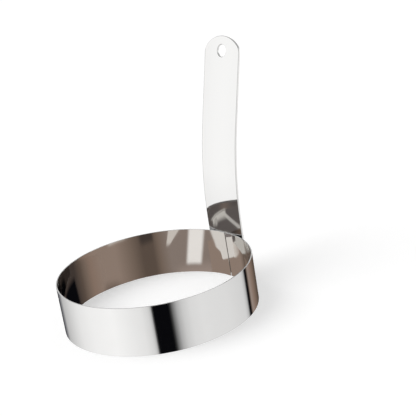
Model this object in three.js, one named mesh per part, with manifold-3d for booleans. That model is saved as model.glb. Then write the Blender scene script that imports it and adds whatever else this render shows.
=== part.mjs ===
// Egg ring: a round cooking ring rolled from polished stainless strip, with a flat strip handle.
// Millimetres, +Z up. The ring stands on z = 0 and the handle rises on its +Y side, across the seam.

import * as THREE from 'three';
import { mergeVertices, toCreasedNormals } from 'three/addons/utils/BufferGeometryUtils.js';
import Module from 'manifold-3d';

const wasm = await Module();
wasm.setup();

// Ring band
const RING_DIAMETER = 100;      // outside
const BAND_HEIGHT = 25;
const BAND_THICKNESS = 0.6;
const SEAM_GAP = 0.6;           // between the two ends of the rolled strip
const LAND_BLEND_RADIUS = 10;   // rounds the flat weld land into the ring

// Handle
const HANDLE_WIDTH = 25.8;
const HANDLE_THICKNESS = 1.2;
const HANDLE_REACH = 103.9;     // along the strip, from the ring's top edge to the tip
const HANDLE_LEAN = 14.6;       // degrees from upright, of the straight grip
const BEND_START = 4;           // above the ring's top edge
const BEND_RADIUS = 214;        // on the face towards the ring
const TIP_RADIUS = 16.6;        // the broad arc across the end
const TIP_CORNER_RADIUS = 5.1;  // where that arc turns into the sides
const HANG_HOLE_DIAMETER = 6.4;
const HANG_HOLE_INSET = 7.6;    // centre of the hole to the tip
const FOOT_LIFT = 1.5;          // lower end of the handle above the base
const FOOT_CORNER_RADIUS = 2;

// Spot welds between the band's ends and the handle's foot
const WELD_DIAMETER = 3;
const WELD_BAND_DEPTH = 0.25;
const WELD_HANDLE_DEPTH = 0.4;
const WELD_EDGE_DISTANCE = 1;   // edge of a weld to the end of the strip
const WELD_ROW_SPACING = 12;    // upper row to lower row
const WELD_CLEARANCE = 0.1;     // round a nugget in its pocket
const LAND_MARGIN = 0.2;        // flat land left outside the welds

// Finish
const EDGE_BREAK = 0.1;         // deburred edges of the strip
const CUT_MARGIN = 1;           // how far a cutter stands out of what it cuts

// How finely round stretches are divided
const RING_STEPS = 180;
const BLEND_STEPS = 4;
const BEND_STEPS = 20;
const TIP_STEPS = 24;
const CORNER_STEPS = 10;
const HOLE_STEPS = 40;
const WELD_STEPS = 16;
const WELD_RINGS = 4;
const CREASE_ANGLE = 0.35;

const STEEL_COLOR = 0xc9c8c5;
const STEEL_ROUGHNESS = 0.12;
const WELD_COLOR = 0x9a9894;
const WELD_ROUGHNESS = 0.45;

// Worked out from the sizes above
const ringRadius = RING_DIAMETER / 2;
const lean = THREE.MathUtils.degToRad(HANDLE_LEAN);
const weldOffset = SEAM_GAP / 2 + WELD_EDGE_DISTANCE + WELD_DIAMETER / 2;
const landHalf = weldOffset + WELD_DIAMETER / 2 + LAND_MARGIN;
const landBlendY = Math.sqrt((ringRadius - LAND_BLEND_RADIUS) ** 2 - landHalf ** 2);
const landY = landBlendY + LAND_BLEND_RADIUS;
const bendZ = BAND_HEIGHT + BEND_START;
const gripLength = HANDLE_REACH - BEND_START - BEND_RADIUS * lean;
const tipY = landY + BEND_RADIUS * (1 - Math.cos(lean)) + gripLength * Math.sin(lean);
const tipZ = bendZ + BEND_RADIUS * Math.sin(lean) + gripLength * Math.cos(lean);
const weldRowMiddle = (FOOT_LIFT + BAND_HEIGHT) / 2;

function arcPoints(centerX, centerY, radius, from, to, steps) {
  const clockwise = to < from;
  return new THREE.EllipseCurve(centerX, centerY, radius, radius, from, to, clockwise).getPoints(steps);
}

function solidOf(geometry) {
  const bare = geometry.clone();
  bare.deleteAttribute('normal');
  bare.deleteAttribute('uv');
  const merged = mergeVertices(bare);
  const corners = merged.index.array;
  const kept = [];
  for (let i = 0; i < corners.length; i += 3) {
    const [a, b, c] = [corners[i], corners[i + 1], corners[i + 2]];
    if (a !== b && b !== c && c !== a) kept.push(a, b, c);
  }
  const mesh = new wasm.Mesh({
    numProp: 3,
    vertProperties: new Float32Array(merged.attributes.position.array),
    triVerts: new Uint32Array(kept),
  });
  return new wasm.Manifold(mesh);
}

function geometryOf(solid) {
  const mesh = solid.getMesh();
  const geometry = new THREE.BufferGeometry();
  geometry.setAttribute('position', new THREE.BufferAttribute(mesh.vertProperties, 3));
  geometry.setIndex(new THREE.BufferAttribute(mesh.triVerts, 1));
  return toCreasedNormals(geometry, CREASE_ANGLE);
}

function extrudeWithBrokenEdges(shape, length) {
  const geometry = new THREE.ExtrudeGeometry(shape, {
    depth: length - 2 * EDGE_BREAK,
    bevelEnabled: true,
    bevelThickness: EDGE_BREAK,
    bevelSize: EDGE_BREAK,
    bevelOffset: -EDGE_BREAK,
    bevelSegments: 1,
  });
  return geometry.translate(0, 0, EDGE_BREAK);
}

// One wall of the band seen from above, from one end of the strip round to the other
function bandWall(inset) {
  const blendRadius = LAND_BLEND_RADIUS - inset;
  const blendAngle = Math.atan2(landBlendY, landHalf);
  const upright = Math.PI / 2;
  const farAngle = -Math.PI - blendAngle;
  return [
    new THREE.Vector2(SEAM_GAP / 2, landY - inset),
    ...arcPoints(landHalf, landBlendY, blendRadius, upright, blendAngle, BLEND_STEPS),
    ...arcPoints(0, 0, ringRadius - inset, blendAngle, farAngle, RING_STEPS).slice(1, -1),
    ...arcPoints(-landHalf, landBlendY, blendRadius, Math.PI - blendAngle, upright, BLEND_STEPS),
    new THREE.Vector2(-SEAM_GAP / 2, landY - inset),
  ];
}

// A nugget is a lens that is widest between the two sheets
function weldLens(clearance) {
  const radius = WELD_DIAMETER / 2 + clearance;
  const bandDepth = WELD_BAND_DEPTH + clearance;
  const handleDepth = WELD_HANDLE_DEPTH + clearance;
  const inBand = new THREE.EllipseCurve(0, 0, radius, bandDepth, -Math.PI / 2, 0).getPoints(WELD_RINGS);
  const inHandle = new THREE.EllipseCurve(0, 0, radius, handleDepth, 0, Math.PI / 2).getPoints(WELD_RINGS);
  const profile = [
    new THREE.Vector2(0, -bandDepth),
    ...inBand.slice(1),
    ...inHandle.slice(1, -1),
    new THREE.Vector2(0, handleDepth),
  ];
  return new THREE.LatheGeometry(profile, WELD_STEPS);
}

const weldPlaces = [];
for (const [row, up] of [['upper', 1], ['lower', -1]]) {
  for (const [side, across] of [['left', -1], ['right', 1]]) {
    const z = weldRowMiddle + up * WELD_ROW_SPACING / 2;
    const at = new THREE.Vector3(across * weldOffset, landY, z);
    weldPlaces.push({ name: `spot_weld_${row}_${side}`, at });
  }
}

function withWeldPockets(solid) {
  let pocketed = solid;
  for (const { at } of weldPlaces) {
    pocketed = pocketed.subtract(solidOf(weldLens(WELD_CLEARANCE).translate(at.x, at.y, at.z)));
  }
  return pocketed;
}

function ringBand() {
  const outline = new THREE.Shape([...bandWall(0), ...bandWall(BAND_THICKNESS).reverse()]);
  const band = extrudeWithBrokenEdges(outline, BAND_HEIGHT);
  return geometryOf(withWeldPockets(solidOf(band)));
}

// The bent strip from the side: x of the shape is Y of the ring, and y of the shape is Z
function handleProfile() {
  const faceArc = arcPoints(landY + BEND_RADIUS, bendZ, BEND_RADIUS, Math.PI, Math.PI - lean, BEND_STEPS);
  const backRadius = BEND_RADIUS - HANDLE_THICKNESS;
  const backArc = arcPoints(landY + BEND_RADIUS, bendZ, backRadius, Math.PI, Math.PI - lean, BEND_STEPS);
  const backTip = new THREE.Vector2(Math.cos(lean), -Math.sin(lean)).multiplyScalar(HANDLE_THICKNESS);
  return new THREE.Shape([
    new THREE.Vector2(landY, FOOT_LIFT),
    ...faceArc,
    new THREE.Vector2(tipY, tipZ),
    new THREE.Vector2(tipY, tipZ).add(backTip),
    ...backArc.reverse(),
    new THREE.Vector2(landY + HANDLE_THICKNESS, FOOT_LIFT),
  ]);
}

// Lies on the face of the grip: x across the strip, y along it from the tip, z towards the ring
const gripFrame = new THREE.Matrix4()
  .makeBasis(
    new THREE.Vector3(1, 0, 0),
    new THREE.Vector3(0, Math.sin(lean), Math.cos(lean)),
    new THREE.Vector3(0, -Math.cos(lean), Math.sin(lean)),
  )
  .setPosition(0, tipY, tipZ);

// Lies on the face of the foot: x across the strip, y up from its lower end, z towards the ring
const footFrame = new THREE.Matrix4()
  .makeBasis(new THREE.Vector3(1, 0, 0), new THREE.Vector3(0, 0, 1), new THREE.Vector3(0, -1, 0))
  .setPosition(0, landY, FOOT_LIFT);

function throughCutter(shape, frame) {
  const depth = HANDLE_THICKNESS + 2 * CUT_MARGIN;
  const geometry = new THREE.ExtrudeGeometry(shape, { depth, bevelEnabled: false });
  return solidOf(geometry.translate(0, 0, CUT_MARGIN - depth).applyMatrix4(frame));
}

// What is cut away round the tip: outside a broad arc that runs into both sides by a smaller one
function tipWaste() {
  const half = HANDLE_WIDTH / 2;
  const wide = half + CUT_MARGIN;
  const cornerX = half - TIP_CORNER_RADIUS;
  const rise = Math.sqrt((TIP_RADIUS - TIP_CORNER_RADIUS) ** 2 - cornerX ** 2);
  const cornerY = rise - TIP_RADIUS;
  const meet = Math.atan2(rise, cornerX);
  const tip = [
    ...arcPoints(-cornerX, cornerY, TIP_CORNER_RADIUS, Math.PI, Math.PI - meet, CORNER_STEPS),
    ...arcPoints(0, -TIP_RADIUS, TIP_RADIUS, Math.PI - meet, meet, TIP_STEPS).slice(1, -1),
    ...arcPoints(cornerX, cornerY, TIP_CORNER_RADIUS, meet, 0, CORNER_STEPS),
  ];
  return new THREE.Shape([
    new THREE.Vector2(-wide, CUT_MARGIN),
    new THREE.Vector2(-wide, cornerY),
    ...tip,
    new THREE.Vector2(wide, cornerY),
    new THREE.Vector2(wide, CUT_MARGIN),
  ]);
}

function footCornerWaste(side) {
  const half = HANDLE_WIDTH / 2;
  const quarter = arcPoints(
    half - FOOT_CORNER_RADIUS, FOOT_CORNER_RADIUS, FOOT_CORNER_RADIUS, -Math.PI / 2, 0, CORNER_STEPS,
  );
  const corner = [
    ...quarter,
    new THREE.Vector2(half + CUT_MARGIN, FOOT_CORNER_RADIUS),
    new THREE.Vector2(half + CUT_MARGIN, -CUT_MARGIN),
    new THREE.Vector2(half - FOOT_CORNER_RADIUS, -CUT_MARGIN),
  ];
  return new THREE.Shape(corner.map((point) => new THREE.Vector2(side * point.x, point.y)));
}

function hangHole() {
  return new THREE.Shape(
    arcPoints(0, -HANG_HOLE_INSET, HANG_HOLE_DIAMETER / 2, 0, 2 * Math.PI, HOLE_STEPS).slice(0, -1),
  );
}

function handle() {
  const acrossTheRing = new THREE.Matrix4().makeBasis(
    new THREE.Vector3(0, 1, 0),
    new THREE.Vector3(0, 0, 1),
    new THREE.Vector3(1, 0, 0),
  );
  const strip = extrudeWithBrokenEdges(handleProfile(), HANDLE_WIDTH)
    .translate(0, 0, -HANDLE_WIDTH / 2)
    .applyMatrix4(acrossTheRing);
  const trimmed = solidOf(strip)
    .subtract(throughCutter(tipWaste(), gripFrame))
    .subtract(throughCutter(hangHole(), gripFrame))
    .subtract(throughCutter(footCornerWaste(-1), footFrame))
    .subtract(throughCutter(footCornerWaste(1), footFrame));
  return geometryOf(withWeldPockets(trimmed));
}

function steel(color, roughness) {
  return new THREE.MeshStandardMaterial({ color, roughness, metalness: 1 });
}

function named(name, geometry, material) {
  const mesh = new THREE.Mesh(geometry, material);
  mesh.name = name;
  return mesh;
}

const eggRing = new THREE.Group();
eggRing.add(named('ring_band', ringBand(), steel(STEEL_COLOR, STEEL_ROUGHNESS)));
eggRing.add(named('handle', handle(), steel(STEEL_COLOR, STEEL_ROUGHNESS)));
for (const { name, at } of weldPlaces) {
  const weld = named(name, weldLens(0), steel(WELD_COLOR, WELD_ROUGHNESS));
  weld.position.copy(at);
  eggRing.add(weld);
}

// The origin is under the middle of the whole object, from the back of the ring to the handle's tip
const backY = tipY + HANDLE_THICKNESS * Math.cos(lean);
eggRing.position.y = (ringRadius - backY) / 2;

export default eggRing;
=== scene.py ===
import math

import bmesh
import bpy
from mathutils import Matrix, Vector


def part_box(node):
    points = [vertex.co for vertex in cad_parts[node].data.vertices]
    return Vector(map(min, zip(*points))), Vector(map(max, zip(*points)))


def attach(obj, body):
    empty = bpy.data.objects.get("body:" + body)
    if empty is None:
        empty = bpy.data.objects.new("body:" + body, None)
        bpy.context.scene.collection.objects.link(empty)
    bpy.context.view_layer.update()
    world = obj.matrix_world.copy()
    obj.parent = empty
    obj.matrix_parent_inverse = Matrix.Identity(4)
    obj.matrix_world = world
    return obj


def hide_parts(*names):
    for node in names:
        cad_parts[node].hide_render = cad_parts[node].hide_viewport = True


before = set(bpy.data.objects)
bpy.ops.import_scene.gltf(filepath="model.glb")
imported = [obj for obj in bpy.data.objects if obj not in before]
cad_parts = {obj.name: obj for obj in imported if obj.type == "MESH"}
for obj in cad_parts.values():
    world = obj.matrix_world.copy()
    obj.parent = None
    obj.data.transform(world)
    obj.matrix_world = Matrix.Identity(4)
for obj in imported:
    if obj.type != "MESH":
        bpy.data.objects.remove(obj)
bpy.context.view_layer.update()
scene = bpy.context.scene
mm = 0.001
print("frame loaded:", ", ".join(sorted(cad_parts)))


# small helpers for node trees and meshes

def calc(tree, operation, *values):
    node = tree.nodes.new("ShaderNodeMath")
    node.operation = operation
    for socket, value in zip(node.inputs, values):
        plug(tree, value, socket)
    return node.outputs[0]


def plug(tree, value, socket):  # a socket is linked, anything else is set on the input
    if isinstance(value, bpy.types.NodeSocket):
        tree.links.new(value, socket)
    else:
        socket.default_value = value


def addNode(tree, kind, settings=None, **inputs):  # a space in an input's name is written as _
    node = tree.nodes.new(kind)
    for key, value in (settings or {}).items():
        setattr(node, key, value)
    for key, value in inputs.items():
        plug(tree, value, node.inputs[key.replace("_", " ")])
    return node


def newGeometryTree(name, sizes, counts=()):
    tree = bpy.data.node_groups.new(name, "GeometryNodeTree")
    sockets = [("Geometry", "Geometry"), *((size, "Float") for size in sizes),
               *((count, "Int") for count in counts), ("Material", "Material")]
    for label, kind in sockets:
        tree.interface.new_socket(label, in_out="INPUT", socket_type="NodeSocket" + kind)
    tree.interface.new_socket("Geometry", in_out="OUTPUT", socket_type="NodeSocketGeometry")
    return tree, tree.nodes.new("NodeGroupInput").outputs


def addGeometryModifier(obj, tree, values):
    modifier = obj.modifiers.new(tree.name, "NODES")
    modifier.node_group = tree
    for item in tree.interface.items_tree:
        if item.in_out == "INPUT" and item.name in values:
            modifier[item.identifier] = values[item.name]


def newObject(name, data):
    obj = bpy.data.objects.new(name, data)
    scene.collection.objects.link(obj)
    return obj


edgeFinish = {
    "bevelAngle": math.radians(40),  # edges sharper than this are rounded
    "sharpAngle": math.radians(6),   # shading breaks here, so the faces stay true mirrors
}


def addEdgeFinish(obj, radius, segments):
    bevel = obj.modifiers.new("deburred", "BEVEL")
    bevel.width = radius
    bevel.segments = segments
    bevel.limit_method = "ANGLE"
    bevel.angle_limit = edgeFinish["bevelAngle"]
    bevel.use_clamp_overlap = True


def bakeModifiers(obj, place):  # the finished mesh, in its place and with no modifier left
    bpy.context.view_layer.update()
    graph = bpy.context.evaluated_depsgraph_get()
    evaluated = obj.evaluated_get(graph)
    mesh = bpy.data.meshes.new_from_object(evaluated, preserve_all_data_layers=True, depsgraph=graph)
    obj.modifiers.clear()
    mesh.transform(place)
    mesh.shade_smooth()
    mesh.set_sharp_from_angle(angle=edgeFinish["sharpAngle"])
    mesh.name = obj.name
    obj.data = mesh


def arc(centreX, centreY, radius, fromAngle, toAngle, steps):
    angles = [fromAngle + (toAngle - fromAngle) * i / steps for i in range(steps + 1)]
    return [(centreX + radius * math.cos(a), centreY + radius * math.sin(a)) for a in angles]


# a flat strip is bent stretch by stretch: each is (length, radius), and a radius of None is straight

def bendAlong(tree, along, stretches):
    forward, aside, turned = 0.0, 0.0, 0.0
    start, heading = 0.0, 0.0
    for length, radius in stretches:
        inside = calc(tree, "MAXIMUM", calc(tree, "SUBTRACT", along, start), 0.0)
        inside = calc(tree, "MINIMUM", inside, length)
        cosine, sine = calc(tree, "COSINE", heading), calc(tree, "SINE", heading)
        if radius is None:
            stepForward = calc(tree, "MULTIPLY", inside, cosine)
            stepAside = calc(tree, "MULTIPLY", inside, sine)
        else:
            turn = calc(tree, "DIVIDE", inside, radius)
            angle = calc(tree, "ADD", heading, turn)
            rise = calc(tree, "SUBTRACT", calc(tree, "SINE", angle), sine)
            run = calc(tree, "SUBTRACT", cosine, calc(tree, "COSINE", angle))
            stepForward = calc(tree, "MULTIPLY", rise, radius)
            stepAside = calc(tree, "MULTIPLY", run, radius)
            turned = calc(tree, "ADD", turned, turn)
            heading = calc(tree, "ADD", heading, calc(tree, "DIVIDE", length, radius))
        forward = calc(tree, "ADD", forward, stepForward)
        aside = calc(tree, "ADD", aside, stepAside)
        start = calc(tree, "ADD", start, length)
    return forward, aside, turned


def flatPosition(tree):  # a point's place along, through and across the flat strip
    position = addNode(tree, "GeometryNodeInputPosition").outputs[0]
    return addNode(tree, "ShaderNodeSeparateXYZ", Vector=position).outputs


def keepFlatPlace(tree, geometry, along, depth, across):  # for the steel, with the depth as a share
    place = addNode(tree, "ShaderNodeCombineXYZ", X=along, Y=depth, Z=across)
    stored = addNode(tree, "GeometryNodeStoreNamedAttribute",
                     {"data_type": "FLOAT_VECTOR", "domain": "POINT"}, Geometry=geometry, Name="flatPlace")
    plug(tree, place.outputs[0], stored.inputs["Value"])
    return stored.outputs[0]


def endTree(tree, geometry, material):
    realized = addNode(tree, "GeometryNodeRealizeInstances", Geometry=geometry)
    dressed = addNode(tree, "GeometryNodeSetMaterial", Geometry=realized.outputs[0], Material=material)
    tree.links.new(dressed.outputs[0], tree.nodes.new("NodeGroupOutput").inputs[0])


# materials

def newMaterial(name):
    material = bpy.data.materials.new(name)
    material.use_nodes = True
    tree = material.node_tree
    shader = tree.nodes["Principled BSDF"]
    return material, tree, shader


def objectNoise(tree, scale, detail):
    place = addNode(tree, "ShaderNodeTexCoord").outputs["Object"]
    return addNode(tree, "ShaderNodeTexNoise", Vector=place, Scale=scale, Detail=detail).outputs["Fac"]


def remap(tree, value, low, high):
    return addNode(tree, "ShaderNodeMapRange", Value=value, To_Min=low, To_Max=high).outputs[0]


def mixColor(tree, factor, first, second):
    node = addNode(tree, "ShaderNodeMix", {"data_type": "RGBA"})
    plug(tree, factor, node.inputs[0])
    plug(tree, first, node.inputs[6])  # the color sockets come after those for numbers and vectors
    plug(tree, second, node.inputs[7])
    return node.outputs[2]


def opaque(color, share=1.0):  # a share below 1 is a darker color
    return (*[share * part for part in color], 1)


polish = {
    "color": (0.89, 0.886, 0.878),
    "dullColor": (0.86, 0.855, 0.846),
    "cloudScale": 90.0,       # clouds of duller polish
    "roughness": (0.025, 0.06),
    "cutEdgeRoughness": 0.22,
    "faceFrom": 0.98,         # from the middle of the strip at 0 to its faces at 1, the cut edge ends here
    "roundingFrom": 0.66,     # and its rounding starts here
    "roundingShadeShare": 0.6,      # share of the color left on the rounded edges, which carry painted shade
    "ringSideDepth": 0.17,    # share of the handle's thickness in the rounding towards the ring, which gets the painted shade
    "grainAlong": 25.0,       # polishing lines per metre, lengthways
    "grainAcross": 3500.0,
    "grainHeight": 0.0004 * mm,
    "waveScale": 38.0,        # slow waves left by rolling
    "waveDetail": 0.0,
    "waveHeight": 0.012 * mm,
    "detail": 3.0,            # of the clouds and the grain
    # a painted sheen: the handle's face is lighter across its middle
    "paintedSheenColor": (0.918, 0.915, 0.906),
    "paintedSheenMiddle": -3 * mm,   # where the painted sheen on the handle's face is brightest, across it
    "paintedSheenHalf": 16 * mm,
    "edgeShadeWidth": 0.4 * mm,    # painted shade: a darker line along one long edge of the handle
    "edgeShadeShare": 0.62,        # share of the color left on it
}


def polishedSteel(name, half=None):  # half is the half width of a strip that gets a painted sheen across its face and a painted darker line along one edge
    material, tree, shader = newMaterial(name)
    flatPlace = addNode(tree, "ShaderNodeAttribute", {"attribute_name": "flatPlace"}).outputs["Vector"]
    grainPlace = addNode(tree, "ShaderNodeVectorMath", {"operation": "MULTIPLY"})
    plug(tree, flatPlace, grainPlace.inputs[0])
    plug(tree, (polish["grainAlong"], 0.0, polish["grainAcross"]), grainPlace.inputs[1])
    grain = addNode(tree, "ShaderNodeTexNoise", Vector=grainPlace.outputs[0], Scale=1.0,
                    Detail=polish["detail"]).outputs["Fac"]
    cloud = objectNoise(tree, polish["cloudScale"], polish["detail"])
    wave = objectNoise(tree, polish["waveScale"], polish["waveDetail"])

    flat = addNode(tree, "ShaderNodeSeparateXYZ", Vector=flatPlace).outputs
    depth, across = flat["Y"], flat["Z"]
    fromMiddle = calc(tree, "ABSOLUTE", calc(tree, "MULTIPLY_ADD", depth, 2.0, -1.0))
    cutEdge = calc(tree, "GREATER_THAN", polish["faceFrom"], fromMiddle)  # only deburred, not polished

    low, high = polish["roughness"]
    smooth = remap(tree, calc(tree, "MULTIPLY", cloud, grain), low, 2 * high - low)
    rough = addNode(tree, "ShaderNodeMix", Factor=cutEdge, A=smooth, B=polish["cutEdgeRoughness"])
    plug(tree, rough.outputs[0], shader.inputs["Roughness"])

    tint = mixColor(tree, cloud, opaque(polish["color"]), opaque(polish["dullColor"]))
    rounded = calc(tree, "GREATER_THAN", fromMiddle, polish["roundingFrom"])
    if half:
        # painted sheen across the face, and painted shade along one long edge
        aside = calc(tree, "SUBTRACT", across, polish["paintedSheenMiddle"])
        aside = calc(tree, "DIVIDE", aside, polish["paintedSheenHalf"])
        paintedSheenShare = calc(tree, "SUBTRACT", 1.0, calc(tree, "MULTIPLY", aside, aside))
        tint = mixColor(tree, paintedSheenShare, tint, opaque(polish["paintedSheenColor"]))
        # painted shade along one long edge
        line = calc(tree, "GREATER_THAN", across, half - polish["edgeShadeWidth"])
        tint = mixColor(tree, line, tint, opaque(polish["dullColor"], polish["edgeShadeShare"]))
        rounded = calc(tree, "LESS_THAN", depth, polish["ringSideDepth"])  # only the rounding towards the ring gets painted shade; the far one stays bright
    # painted shade on the rounded edges of the strip
    shadedRounding = calc(tree, "MULTIPLY", cutEdge, rounded)
    tint = mixColor(tree, shadedRounding, tint, opaque(polish["dullColor"], polish["roundingShadeShare"]))
    plug(tree, tint, shader.inputs["Base Color"])

    waves = addNode(tree, "ShaderNodeBump", Height=wave, Distance=polish["waveHeight"])
    lines = addNode(tree, "ShaderNodeBump", Height=grain, Distance=polish["grainHeight"])
    plug(tree, waves.outputs[0], lines.inputs["Normal"])
    plug(tree, lines.outputs[0], shader.inputs["Normal"])
    shader.inputs["Metallic"].default_value = 1.0
    return material


weldFinish = {
    "darkColor": (0.42, 0.40, 0.38),
    "paleColor": (0.66, 0.65, 0.63),
    "roughness": (0.35, 0.6),
    "grainScale": 1500.0,
    "grainDetail": 4.0,
    "grainHeight": 0.02 * mm,
}


def weldMetal():
    material, tree, shader = newMaterial("weldMetal")
    grains = objectNoise(tree, weldFinish["grainScale"], weldFinish["grainDetail"])
    tint = addNode(tree, "ShaderNodeValToRGB", Fac=grains)
    for stop, color in zip(tint.color_ramp.elements, (weldFinish["darkColor"], weldFinish["paleColor"])):
        stop.color = opaque(color)
    plug(tree, tint.outputs[0], shader.inputs["Base Color"])
    plug(tree, remap(tree, grains, *weldFinish["roughness"]), shader.inputs["Roughness"])
    bump = addNode(tree, "ShaderNodeBump", Height=grains, Distance=weldFinish["grainHeight"])
    plug(tree, bump.outputs[0], shader.inputs["Normal"])
    shader.inputs["Metallic"].default_value = 1.0
    return material


bandLow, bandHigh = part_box("ring_band")
handleLow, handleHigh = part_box("handle")
handleHalf = (handleHigh.x - handleLow.x) / 2
bandSteel = polishedSteel("bandSteel")
handleSteel = polishedSteel("handleSteel", handleHalf)
weldSteel = weldMetal()
print("materials made")


# the ring band: a strip rolled into a ring, its ends flat where the handle is welded on

ringBand = {
    "thickness": 0.6 * mm,
    "seamGap": 0.6 * mm,
    "landHalf": 4.5 * mm,      # flat land on each side of the seam
    "blendRadius": 10 * mm,    # from the land into the ring
    "edgeRadius": 0.1 * mm,
    "edgeSegments": 2,
    "steps": 1080,             # points along the strip
}
ringRadius = (bandHigh.x - bandLow.x) / 2
bandHeight = bandHigh.z - bandLow.z
ringCentre = Vector((0, bandLow.y + ringRadius, bandLow.z))


def rolledStripTree():
    sizes = ["Ring Radius", "Height", "Thickness", "Seam Gap", "Land Half", "Blend Radius"]
    tree, given = newGeometryTree("rolledStrip", sizes, ["Steps"])
    reach = calc(tree, "SUBTRACT", given["Ring Radius"], given["Blend Radius"])
    blendAngle = calc(tree, "ARCSINE", calc(tree, "DIVIDE", given["Land Half"], reach))
    landY = calc(tree, "MULTIPLY_ADD", reach, calc(tree, "COSINE", blendAngle), given["Blend Radius"])
    halfGap = calc(tree, "MULTIPLY", given["Seam Gap"], 0.5)
    land = calc(tree, "SUBTRACT", given["Land Half"], halfGap)
    blend = calc(tree, "MULTIPLY", blendAngle, given["Blend Radius"])
    ringAngle = calc(tree, "MULTIPLY_ADD", blendAngle, -2.0, 2 * math.pi)
    around = calc(tree, "MULTIPLY", ringAngle, given["Ring Radius"])
    stretches = [(land, None), (blend, given["Blend Radius"]), (around, given["Ring Radius"]),
                 (blend, given["Blend Radius"]), (land, None)]
    length = 0.0
    for part, radius in stretches:
        length = calc(tree, "ADD", length, part)

    # the flat strip starts at x 0, with its outer face at y 0 and its lower edge at z 0
    stripSize = addNode(tree, "ShaderNodeCombineXYZ", X=length, Y=given["Thickness"], Z=given["Height"])
    strip = addNode(tree, "GeometryNodeMeshCube", Size=stripSize.outputs[0], Vertices_X=given["Steps"])
    middle = addNode(tree, "ShaderNodeVectorMath", {"operation": "MULTIPLY"})
    plug(tree, stripSize.outputs[0], middle.inputs[0])
    plug(tree, (0.5, -0.5, 0.5), middle.inputs[1])
    placed = addNode(tree, "GeometryNodeTransform", Geometry=strip.outputs["Mesh"],
                     Translation=middle.outputs[0])

    along, through, up = flatPosition(tree)
    depth = calc(tree, "ABSOLUTE", calc(tree, "DIVIDE", through, given["Thickness"]))
    kept = keepFlatPlace(tree, placed.outputs[0], along, depth, up)
    forward, aside, turned = bendAlong(tree, along, stretches)
    x = calc(tree, "ADD", forward, halfGap)
    x = calc(tree, "MULTIPLY_ADD", through, calc(tree, "SINE", turned), x)
    y = calc(tree, "SUBTRACT", landY, aside)
    y = calc(tree, "MULTIPLY_ADD", through, calc(tree, "COSINE", turned), y)
    rolled = addNode(tree, "ShaderNodeCombineXYZ", X=x, Y=y, Z=up)
    moved = addNode(tree, "GeometryNodeSetPosition", Geometry=kept, Position=rolled.outputs[0])
    endTree(tree, moved.outputs[0], given["Material"])
    return tree


def makeRingBand():
    band = newObject("rolled_band", bpy.data.meshes.new("rolled_band"))
    addGeometryModifier(band, rolledStripTree(), {
        "Ring Radius": ringRadius, "Height": bandHeight, "Thickness": ringBand["thickness"],
        "Seam Gap": ringBand["seamGap"], "Land Half": ringBand["landHalf"],
        "Blend Radius": ringBand["blendRadius"], "Steps": ringBand["steps"], "Material": bandSteel})
    addEdgeFinish(band, ringBand["edgeRadius"], ringBand["edgeSegments"])
    bakeModifiers(band, Matrix.Translation(ringCentre))
    return band


band = makeRingBand()
print("ring band:", len(band.data.polygons), "faces")


# the handle: a blank with a round end and a hanging hole, bent once above the rim

handleStrip = {
    "thickness": 1.2 * mm,
    "reach": 103.9 * mm,       # along the strip, from the ring's rim to the tip
    "lean": math.radians(14.6),
    "bendStart": 4 * mm,       # above the rim
    "bendRadius": 214 * mm,    # on the face towards the ring
    "tipRadius": 16.6 * mm,
    "tipCornerRadius": 5.1 * mm,
    "holeRadius": 3.2 * mm,
    "holeInset": 7.6 * mm,     # from the tip
    "footCornerRadius": 2 * mm,
    "edgeRadius": 0.2 * mm,
    "edgeSegments": 3,
    "bendCut": 1 * mm,         # spacing of the cuts across the bend
    "flatAngle": 0.01,         # triangles of the blank nearer to flat than this are joined
    "arcSteps": 24,
    "holeSteps": 64,
}
footHeight = bandHigh.z - handleLow.z  # of the foot below the rim
stripLength = footHeight + handleStrip["reach"]
bendFrom = footHeight + handleStrip["bendStart"]
bendLength = handleStrip["bendRadius"] * handleStrip["lean"]


def blankOutline():  # x along the strip from its foot, y across it
    steps = handleStrip["arcSteps"]
    quarter = math.pi / 2
    footRadius = handleStrip["footCornerRadius"]
    tipRadius, cornerRadius = handleStrip["tipRadius"], handleStrip["tipCornerRadius"]
    cornerY = handleHalf - cornerRadius
    meet = math.asin(cornerY / (tipRadius - cornerRadius))  # where the tip arc meets the corner arc
    tipCentre = stripLength - tipRadius
    cornerX = tipCentre + (tipRadius - cornerRadius) * math.cos(meet)
    half = arc(footRadius, footRadius - handleHalf, footRadius, -2 * quarter, -quarter, steps)
    half += arc(cornerX, -cornerY, cornerRadius, -quarter, -meet, steps)
    half += arc(tipCentre, 0, tipRadius, -meet, 0, steps)[1:]
    return half + [(x, -y) for x, y in reversed(half[:-1])]


def hangingHole():
    middle = stripLength - handleStrip["holeInset"]
    return arc(middle, 0, handleStrip["holeRadius"], 0, 2 * math.pi, handleStrip["holeSteps"])[:-1]


def makeBlank(name):
    work = bmesh.new()
    for loop in (blankOutline(), hangingHole()):
        corners = [work.verts.new((x, 0, z)) for x, z in loop]
        for first, second in zip(corners, corners[1:] + corners[:1]):
            work.edges.new((first, second))
    bmesh.ops.triangle_fill(work, edges=work.edges[:], use_beauty=True, normal=(0, -1, 0))
    bmesh.ops.dissolve_limit(work, angle_limit=handleStrip["flatAngle"], verts=work.verts[:],
                             edges=work.edges[:])
    cuts = round(bendLength / handleStrip["bendCut"])
    for i in range(cuts + 1):
        where = bendFrom + bendLength * i / cuts
        everything = work.verts[:] + work.edges[:] + work.faces[:]
        bmesh.ops.bisect_plane(work, geom=everything, plane_co=(where, 0, 0), plane_no=(1, 0, 0))
    grown = bmesh.ops.extrude_face_region(work, geom=work.faces[:])
    moved = [item for item in grown["geom"] if isinstance(item, bmesh.types.BMVert)]
    bmesh.ops.translate(work, verts=moved, vec=(0, handleStrip["thickness"], 0))
    bmesh.ops.recalc_face_normals(work, faces=work.faces[:])
    mesh = bpy.data.meshes.new(name)
    work.to_mesh(mesh)
    work.free()
    return newObject(name, mesh)


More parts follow.
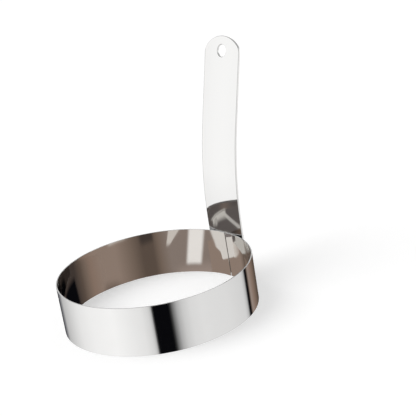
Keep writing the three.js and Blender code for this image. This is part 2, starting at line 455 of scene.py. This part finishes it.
def bentStripTree():
    sizes = ["Thickness", "Straight", "Bend Radius", "Bend Length", "Grip"]
    tree, given = newGeometryTree("bentStrip", sizes)
    along, through, across = flatPosition(tree)
    depth = calc(tree, "DIVIDE", through, given["Thickness"])
    kept = keepFlatPlace(tree, given["Geometry"], along, depth, across)
    forward, aside, turned = bendAlong(tree, along, [
        (given["Straight"], None), (given["Bend Length"], given["Bend Radius"]), (given["Grip"], None)])
    x = calc(tree, "MULTIPLY", across, -1.0)
    y = calc(tree, "MULTIPLY_ADD", through, calc(tree, "COSINE", turned), aside)
    fall = calc(tree, "MULTIPLY", through, calc(tree, "SINE", turned))
    z = calc(tree, "SUBTRACT", forward, fall)
    bent = addNode(tree, "ShaderNodeCombineXYZ", X=x, Y=y, Z=z)
    moved = addNode(tree, "GeometryNodeSetPosition", Geometry=kept, Position=bent.outputs[0])
    endTree(tree, moved.outputs[0], given["Material"])
    return tree


def makeHandle():
    handle = makeBlank("handle_strip")
    addEdgeFinish(handle, handleStrip["edgeRadius"], handleStrip["edgeSegments"])
    addGeometryModifier(handle, bentStripTree(), {
        "Thickness": handleStrip["thickness"], "Straight": bendFrom,
        "Bend Radius": handleStrip["bendRadius"], "Bend Length": bendLength,
        "Grip": stripLength - bendFrom - bendLength, "Material": handleSteel})
    bakeModifiers(handle, Matrix.Translation((0, handleLow.y, handleLow.z)))
    return handle


handle = makeHandle()
print("handle:", len(handle.data.polygons), "faces")

for piece, node in ((band, "ring_band"), (handle, "handle")):
    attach(piece, "root")
    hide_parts(node)

for name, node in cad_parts.items():
    if name.startswith("spot_weld"):
        node.data.materials.clear()
        node.data.materials.append(weldSteel)
print("pieces ride on the frame")


# camera, in a photo frame with the ring's axis as its origin, x to the right and y away from the lens

photo = {
    "handleAzimuth": math.radians(35.43),
    "elevation": math.radians(22.43),
    "distance": 571.2 * mm,    # from the middle of the ring
    "yaw": math.radians(3.44),
    "pitch": math.radians(-18.83),
    "roll": math.radians(-9.32),
    "focalPixels": 1120.1,
    "width": 416,              # pixels
    "sensor": 36.0,            # millimetres, as the camera counts them
    "clipStart": 10 * mm,
}
fromPhoto = Matrix.Translation(ringCentre) @ Matrix.Rotation(math.pi / 2 - photo["handleAzimuth"], 4, "Z")


def makeCamera():
    yaw, pitch, roll = photo["yaw"], photo["pitch"], photo["roll"]
    ahead = Vector((math.sin(yaw) * math.cos(pitch), math.cos(yaw) * math.cos(pitch), math.sin(pitch)))
    level = Vector((math.cos(yaw), -math.sin(yaw), 0))
    above = level.cross(ahead)
    right = math.cos(roll) * level + math.sin(roll) * above
    up = math.cos(roll) * above - math.sin(roll) * level
    stand = photo["distance"] * Vector((0, -math.cos(photo["elevation"]), math.sin(photo["elevation"])))
    stand.z += bandHeight / 2
    pose = Matrix((right, up, -ahead)).transposed().to_4x4()
    camera = newObject("camera", bpy.data.cameras.new("camera"))
    camera.data.sensor_width = photo["sensor"]
    camera.data.lens = photo["focalPixels"] / photo["width"] * photo["sensor"]
    camera.data.clip_start = photo["clipStart"]
    camera.matrix_world = fromPhoto @ Matrix.Translation(stand) @ pose
    scene.camera = camera


makeCamera()
print("camera placed")


# stage: a white floor, soft light, and a studio that only the polished metal sees

floorStage = {
    "radius": 6.0,         # metres
    "sides": 64,
    "albedo": 0.88,
    "mottle": 0.01,        # how far the albedo strays
    "mottleScale": 12.0,
    "mottleDetail": 2.0,
    "lift": 0.3,           # glow that the camera alone sees
}
keyLight = {"strength": 1.1, "softness": math.radians(50), "from": (-0.5, -0.55, 1.0)}


def grey(level):
    return (level, level, level)


tones = {
    "ink": (0.003, 0.003, 0.004),
    "black": (0.006, 0.005, 0.006),
    "night": (0.015, 0.015, 0.02),
    "umber": (0.055, 0.042, 0.036),
    "brown": (0.11, 0.08, 0.063),
    "shade": (0.115, 0.105, 0.1),
    "dusk": (0.165, 0.168, 0.18),
    "rust": (0.185, 0.137, 0.108),
    "slate": (0.205, 0.18, 0.172),
    "clay": (0.255, 0.18, 0.14),
    "stone": (0.25, 0.20, 0.172),
    "taupe": (0.285, 0.215, 0.175),
    "sand": (0.34, 0.27, 0.235),
    "haze": (0.4, 0.4, 0.405),
    "pale": (0.62, 0.57, 0.52),
    "ivory": (0.70, 0.665, 0.625),
    "cream": (0.85, 0.815, 0.78),
    "paper": grey(0.84),
    "white": (0.98, 0.94, 0.88),
}
studio = {
    "fill": 0.55,                 # what the floor gets from all round
    "zenith": 0.45,
    "skyFade": (0.28, 0.42),      # heights of a ray between which the sky fades into the zenith
    "horizon": (-0.32, -0.12),    # and the lower studio into the sky
    "floorFade": (-0.62, -0.46),  # and the pale floor into the lower studio
    "floorTone": tones["paper"],
    "secondBounce": 0.58,         # how much glow is left after a second bounce inside the ring, a painted shade
    "lower": [                    # azimuth in the photo frame, and the tone seen there below the horizon
        (-180, grey(0.98)), (-150, grey(1.03)), (-114, grey(0.865)), (-106, grey(0.74)),
        (-103.4, grey(0.6)), (-102.3, grey(0.42)), (-101, tones["ink"]), (-82.5, tones["ink"]),
        (-80.6, grey(0.03)), (-76.5, grey(0.27)), (-73, grey(0.47)), (-67, grey(0.66)),
        (-58, grey(0.78)), (-45, grey(0.825)), (-10, grey(0.8)), (12, grey(0.745)),
        (21, grey(0.72)), (26.5, grey(0.54)), (28.4, grey(0.36)), (30.4, tones["ink"]),
        (34.8, tones["ink"]), (37.2, tones["rust"]), (39.5, tones["sand"]), (50, tones["clay"]),
        (66, tones["brown"]), (84, tones["brown"]), (92, grey(0.46)), (122, grey(0.5)),
        (138, grey(0.66)), (160, grey(0.88)), (180, grey(0.98)),
    ],
}
halfBounce = 0.5  # bounces are whole numbers, so a limit lies halfway between two


def secondBounceShade(tree):  # painted shade: the studio and the cards glow less for a ray after a second bounce inside the ring
    bounces = addNode(tree, "ShaderNodeLightPath").outputs["Glossy Depth"]
    again = calc(tree, "GREATER_THAN", bounces, 1 + halfBounce)
    return calc(tree, "MULTIPLY_ADD", again, studio["secondBounce"] - 1.0, 1.0)


def makeFloor():
    mesh = bpy.data.meshes.new("floor")
    rim = arc(0, 0, floorStage["radius"], 0, 2 * math.pi, floorStage["sides"])[:-1]
    mesh.from_pydata([(x, y, 0) for x, y in rim], [], [list(range(len(rim)))])
    floor = newObject("floor", mesh)
    material, tree, shader = newMaterial("whiteFloor")
    mottle = objectNoise(tree, floorStage["mottleScale"], floorStage["mottleDetail"])
    darkest = floorStage["albedo"] - floorStage["mottle"]
    palest = floorStage["albedo"] + floorStage["mottle"]
    level = remap(tree, mottle, darkest, palest)
    tone = addNode(tree, "ShaderNodeCombineColor", Red=level, Green=level, Blue=level)
    plug(tree, tone.outputs[0], shader.inputs["Base Color"])
    shader.inputs["Roughness"].default_value = 1.0
    shader.inputs["Specular IOR Level"].default_value = 0.0
    shader.inputs["Emission Color"].default_value = (1, 1, 1, 1)
    seen = addNode(tree, "ShaderNodeLightPath").outputs["Is Camera Ray"]
    plug(tree, calc(tree, "MULTIPLY", seen, floorStage["lift"]), shader.inputs["Emission Strength"])
    mesh.materials.append(material)
    floor.visible_glossy = False  # the metal sees the studio instead


def makeStudio():
    world = bpy.data.worlds.new("studio")
    world.use_nodes = True
    scene.world = world
    tree = world.node_tree
    plain = tree.nodes["Background"]
    plain.inputs["Color"].default_value = (1, 1, 1, 1)
    plain.inputs["Strength"].default_value = studio["fill"]

    direction = addNode(tree, "ShaderNodeTexCoord").outputs["Generated"]
    turned = addNode(tree, "ShaderNodeVectorRotate", {"rotation_type": "Z_AXIS"},
                     Vector=direction, Angle=photo["handleAzimuth"] - math.pi / 2)
    around = addNode(tree, "ShaderNodeTexGradient", {"gradient_type": "RADIAL"}, Vector=turned.outputs[0])
    lower = addNode(tree, "ShaderNodeValToRGB", Fac=around.outputs["Fac"])
    stops = lower.color_ramp.elements
    for i, (azimuth, tone) in enumerate(studio["lower"]):
        stop = stops[i] if i < 2 else stops.new(1.0)  # a new ramp has two stops
        stop.position = (azimuth + 180) / 360
        stop.color = opaque(tone)

    height = addNode(tree, "ShaderNodeSeparateXYZ", Vector=direction).outputs["Z"]
    fadeFrom, fadeTo = studio["skyFade"]
    shade = addNode(tree, "ShaderNodeMapRange", Value=height, From_Min=fadeFrom, From_Max=fadeTo,
                    To_Min=1.0, To_Max=studio["zenith"]).outputs[0]
    sky = addNode(tree, "ShaderNodeCombineColor", Red=shade, Green=shade, Blue=shade)
    dusk, dawn = studio["horizon"]
    above = addNode(tree, "ShaderNodeMapRange", Value=height, From_Min=dusk, From_Max=dawn).outputs[0]
    steep, shallow = studio["floorFade"]
    down = addNode(tree, "ShaderNodeMapRange", Value=height, From_Min=steep, From_Max=shallow).outputs[0]
    ground = mixColor(tree, down, opaque(studio["floorTone"]), lower.outputs[0])
    seenInMetal = mixColor(tree, above, ground, sky.outputs[0])

    path = addNode(tree, "ShaderNodeLightPath").outputs
    seen = mixColor(tree, path["Is Camera Ray"], seenInMetal, (1, 1, 1, 1))
    direct = calc(tree, "MAXIMUM", path["Is Camera Ray"], path["Is Glossy Ray"])
    direct = calc(tree, "MAXIMUM", direct, path["Is Transmission Ray"])
    view = addNode(tree, "ShaderNodeBackground", Color=seen, Strength=secondBounceShade(tree))
    mixed = addNode(tree, "ShaderNodeMixShader", Fac=direct)
    plug(tree, plain.outputs[0], mixed.inputs[1])
    plug(tree, view.outputs[0], mixed.inputs[2])
    tree.links.new(mixed.outputs[0], tree.nodes["World Output"].inputs["Surface"])


def makeKeyLight():
    lamp = bpy.data.lights.new("key", "SUN")
    lamp.energy = keyLight["strength"]
    lamp.angle = keyLight["softness"]
    key = newObject("key", lamp)
    key.rotation_euler = Vector(keyLight["from"]).to_track_quat("Z", "Y").to_euler()
    key.visible_glossy = False


makeFloor()
makeStudio()
makeKeyLight()
print("floor and light set")


# cards for the metal to reflect, in the photo frame: a skirt that hangs below the band, a fin of dark cards
# facing left and light ones facing right, one near the seam, one far behind and a patch of floor

cardPlaces = {
    "skirtInset": 0.3 * mm,    # from the outside of the band
    "skirtLayer": 0.1 * mm,    # a later card lies a layer before an earlier one
    "thinLayer": 0.002 * mm,   # the same off the skirt
    "fin": 3 * mm,             # from the middle to either side
    "seam": 25 * mm,
    "behind": 92 * mm,
}
cardGrid = {"columns": 96, "rows": 24}


def onSkirt(azimuth, depth, layer):
    radius = ringRadius - cardPlaces["skirtInset"] - layer * cardPlaces["skirtLayer"]
    angle = math.radians(azimuth)
    return (radius * math.cos(angle), radius * math.sin(angle), -depth * mm)


def onDarkSide(away, depth, layer):
    return (cardPlaces["fin"] - layer * cardPlaces["thinLayer"], away * mm, -depth * mm)


def onLightSide(away, depth, layer):
    return (layer * cardPlaces["thinLayer"] - cardPlaces["fin"], away * mm, -depth * mm)


def nearSeam(away, depth, layer):
    return (cardPlaces["seam"] + layer * cardPlaces["thinLayer"], away * mm, -depth * mm)


def farBehind(across, depth, layer):
    return (across * mm, cardPlaces["behind"] - layer * cardPlaces["thinLayer"], -depth * mm)


def onFloor(across, away, layer):
    return (across * mm, away * mm, -layer * cardPlaces["thinLayer"])


lastBounce, farRay = 9, 400  # past any bounce and any length of ray that matters

# a corner is an azimuth in degrees on the skirt, or a distance in mm elsewhere, and a depth in mm below the
# base, or two distances on the floor; corners go along the top of the card and back along its bottom

def newCard(name, place, corners, tone,
            soft=(0, 0, 0, 0),         # shares that fade out at the start, end, top and bottom
            bounces=(1, lastBounce),   # the mirror bounces that show the card
            reach=(0, farRay)):        # and the lengths of ray that do, in mm
    stops = [(0, tone)] if isinstance(tone, str) else tone
    return {"name": name, "place": place, "corners": corners, "stops": stops,
            "soft": soft, "bounces": bounces, "reach": reach}


skirtStart, skirtEnd = 119.5, 424
wall, finEnd, hem = 49.2, 95, 46  # the fin at the band and at its far end, and the cards' lower edge
once, twice = (1, 1), (2, 2)
again, later = (2, lastBounce), (3, lastBounce)
pastWall = (22, farRay)  # rays from the band beside the fin are shorter
fullSkirt = [(skirtStart, 0), (skirtEnd, 0), (skirtEnd, hem), (skirtStart, hem)]
darkFront = [(26, -10), (wall, -10), (wall, hem), (26, hem)]
finBack = [(wall, 0), (finEnd, 0), (finEnd, hem), (wall, hem)]
skirtStops = [(120, "black"), (124, "umber"), (129, "brown"), (134, "stone"), (236, "stone"), (255, "rust"),
              (266, "brown"), (286, "brown"), (305, "rust"), (335, "taupe"), (380, "taupe"), (400, "clay"),
              (skirtEnd, "rust")]
againStops = [(120, "slate"), (255, "slate"), (290, "sand"), (330, "slate")]
darkStops = [(27, "taupe"), (31, "clay"), (34, "rust"), (37.5, "brown"), (43.5, "umber")]
lightStops = [(29, "taupe"), (58, "taupe"), (75, "brown")]
gapStops = [(33, "ivory"), (43, "ivory"), (48, "pale")]
behindStops = [(-118, "haze"), (-93, "dusk"), (-74, "night")]

cards = [
    newCard("skirtCard", onSkirt, fullSkirt, skirtStops),
    newCard("lowShade", onSkirt, [(320, 34), (skirtEnd, 16), (skirtEnd, hem), (320, hem)], "brown",
            soft=(0.3, 0, 0.7, 0)),
    newCard("lowGlow", onSkirt, [(134, 17), (240, 34), (240, hem), (134, 34)], "sand",
            soft=(0.05, 0.2, 0.8, 0)),
    newCard("leftGap", onSkirt, [(156.5, 0), (194, 0), (214, 33.8), (178, 30.6)], "cream",
            soft=(0.22, 0.2, 0, 0.1)),
    newCard("lowGap", onSkirt, [(193, 0), (228, 0), (243, 21.5), (239, 21.5)], "pale",
            soft=(0.15, 0.12, 0, 0.2)),
    newCard("frontShade", onSkirt, [(260, 0), (294, 0), (290, 20), (260, 18)], "umber",
            soft=(0.2, 0.3, 0, 0.3)),
    newCard("rimGlow", onSkirt, [(300, 0), (354, 0), (350, 10), (306, 11.5)], "pale",
            soft=(0.3, 0.2, 0, 0.4)),
    newCard("skirtAgain", onSkirt, fullSkirt, againStops, bounces=again),
    newCard("archLeft", onSkirt, [(149, 0), (206, 0.5), (204, 13), (149, 7)], "white",
            soft=(0.1, 0.05, 0, 0.7), bounces=twice),
    newCard("archPale", onSkirt, [(158, 1), (173, 1), (170.5, 9.4), (161, 9.4)], "ivory",
            soft=(0.3, 0.25, 0.3, 0.25), bounces=twice),
    newCard("rimAgain", onSkirt, [(94, -26), (142, -26.6), (142, -24.8), (94, -24.8)], "shade",
            soft=(0.1, 0.1, 0, 0), bounces=once),
    newCard("archRight", onSkirt, [(200, 0), (238, 24.5), (237, 35), (200, 9)],
            [(200, "white"), (212, "cream")], soft=(0.05, 0.1, 0.3, 0.4), bounces=twice),
    newCard("archLow", onSkirt, [(176, 17), (197, 20), (197, 30), (176, 30)], "pale",
            soft=(0.2, 0.3, 0.2, 0.2), bounces=twice),
    newCard("archTop", onSkirt, [(186, 10), (295, 16.5), (295, 34), (186, 30)], "white",
            soft=(0.1, 0.05, 0.12, 0), bounces=later),
    newCard("finDark", onDarkSide, darkFront, darkStops,
            soft=(0.1, 0, 0.05, 0), bounces=once, reach=(26, farRay)),
    newCard("finDarkAgain", onDarkSide, darkFront, darkStops, soft=(0.1, 0, 0.05, 0), bounces=again),
    newCard("finDarkBack", onDarkSide, finBack, darkStops, reach=pastWall),
    newCard("finBlack", onDarkSide, [(44, 0), (finEnd, 29), (finEnd, hem), (40, hem)], "ink",
            soft=(0.05, 0, 0.08, 0), reach=pastWall),
    newCard("finLight", onLightSide, [(29, -5.2), (wall, -11.7), (wall, hem), (29, hem)], lightStops),
    newCard("finLightBack", onLightSide, finBack, lightStops, reach=pastWall),
    newCard("finGap", onLightSide, [(31.2, -5.9), (wall, -11.7), (wall, -1), (31.9, -1)], gapStops,
            soft=(0.06, 0, 0, 0)),
    newCard("finGapTop", onLightSide, [(30.3, -11.5), (43, -11.5), (43, -9.7), (31.2, -5.9)], "ivory",
            soft=(0.08, 0, 0, 0), reach=(0, 44.8)),
    newCard("finGapLow", onLightSide, [(31.9, -1), (wall, -1), (wall, 9.5), (37.2, 7.2)], gapStops,
            soft=(0.06, 0, 0, 0.12)),
    newCard("rimShade", nearSeam, [(24.5, -16.7), (32.4, -19.4), (33, -16.2), (24.5, -16.4)],
            [(29, "rust"), (30.2, "slate")], soft=(0, 0.1, 0, 0.3), reach=(0, 30)),
    newCard("seamShade", onLightSide, [(45.8, -6.5), (wall, -6.5), (wall, 0.2), (46.2, -0.4)], "slate",
            soft=(0.2, 0, 0, 0.3)),
    newCard("finGapBack", onLightSide, [(wall, 0), (61, 0), (61, 9.5), (wall, 10)],
            [(49, "pale"), (60, "sand")], soft=(0, 0.3, 0, 0.2), reach=pastWall),
    newCard("finAgain", onLightSide, [(43, -0.4), (wall, -0.4), (wall, 9), (43, 9)], "white",
            soft=(0, 0, 0, 0.15), bounces=again),
    newCard("finAgainTop", onLightSide, [(43, -6.5), (46, -6.5), (46.2, -0.4), (43, -0.4)], "white",
            soft=(0, 0.15, 0, 0), bounces=again),
    newCard("floorGlow", onFloor, [(-9, 46), (3, 46), (3, 49.4), (-9, 49.4)], "paper",
            bounces=once, reach=(4, 26)),
    newCard("sideShade", farBehind, [(-120, -5), (-18, -5), (-18, 62), (-120, 62)], behindStops,
            soft=(0.1, 0.02, 0.1, 0), reach=(30, farRay)),
]


def cardMaterial(bounces, reach):  # a glow that shows from the front only
    first, last = bounces
    shortest, longest = reach
    material = bpy.data.materials.new("cardTone")
    material.use_nodes = True
    tree = material.node_tree
    tree.nodes.clear()
    tone = addNode(tree, "ShaderNodeAttribute", {"attribute_name": "tone"}).outputs
    ray = addNode(tree, "ShaderNodeLightPath").outputs
    behind = addNode(tree, "ShaderNodeNewGeometry").outputs["Backfacing"]
    there = tone["Alpha"]
    for limit in (
            calc(tree, "GREATER_THAN", ray["Glossy Depth"], first - halfBounce),
            calc(tree, "LESS_THAN", ray["Glossy Depth"], last + halfBounce),
            calc(tree, "GREATER_THAN", ray["Ray Length"], shortest * mm),
            calc(tree, "LESS_THAN", ray["Ray Length"], longest * mm),
            calc(tree, "SUBTRACT", 1.0, behind)):
        there = calc(tree, "MULTIPLY", there, limit)
    clear = addNode(tree, "ShaderNodeBsdfTransparent")
    glow = addNode(tree, "ShaderNodeEmission", Color=tone["Color"], Strength=secondBounceShade(tree))
    mixed = addNode(tree, "ShaderNodeMixShader", Fac=there)
    plug(tree, clear.outputs[0], mixed.inputs[1])
    plug(tree, glow.outputs[0], mixed.inputs[2])
    tree.links.new(mixed.outputs[0], addNode(tree, "ShaderNodeOutputMaterial").inputs["Surface"])
    return material


def toneAt(stops, where):
    for (start, first), (end, second) in zip(stops, stops[1:]):
        if start <= where <= end:
            share = (where - start) / (end - start)
            return [a + (b - a) * share for a, b in zip(tones[first], tones[second])]
    return tones[stops[0][1] if where < stops[0][0] else stops[-1][1]]


def fade(distance, soft):  # a smooth step from 0 at the edge to 1
    share = 1.0 if distance >= soft else distance / soft
    return share * share * (3 - 2 * share)


def makeCard(card, layer):
    columns, rows = cardGrid["columns"], cardGrid["rows"]
    topStart, topEnd, lowEnd, lowStart = [Vector(corner) for corner in card["corners"]]
    start, end, top, low = card["soft"]
    points, shades, faces = [], [], []
    for j in range(rows + 1):
        for i in range(columns + 1):
            u, v = i / columns, j / rows
            spot = topStart.lerp(topEnd, u).lerp(lowStart.lerp(lowEnd, u), v)
            points.append(card["place"](spot.x, spot.y, layer))
            alpha = fade(u, start) * fade(1 - u, end) * fade(v, top) * fade(1 - v, low)
            shades += [*toneAt(card["stops"], spot.x), alpha]
    for j in range(rows):
        for i in range(columns):
            first = j * (columns + 1) + i
            faces.append((first, first + 1, first + columns + 2, first + columns + 1))
    mesh = bpy.data.meshes.new(card["name"])
    mesh.from_pydata(points, [], faces)
    mesh.color_attributes.new("tone", "FLOAT_COLOR", "POINT").data.foreach_set("color", shades)
    if card["place"] in (onLightSide, nearSeam, farBehind):  # these face right, or towards the lens
        mesh.flip_normals()
    mesh.transform(fromPhoto)
    mesh.materials.append(cardMaterial(card["bounces"], card["reach"]))
    obj = newObject(card["name"], mesh)
    obj.visible_camera = False
    obj.visible_diffuse = False
    obj.visible_shadow = False
    obj.visible_transmission = False


for layer, card in enumerate(cards):
    makeCard(card, layer)
print("reflection cards hung")

scene.view_settings.view_transform = "Standard"
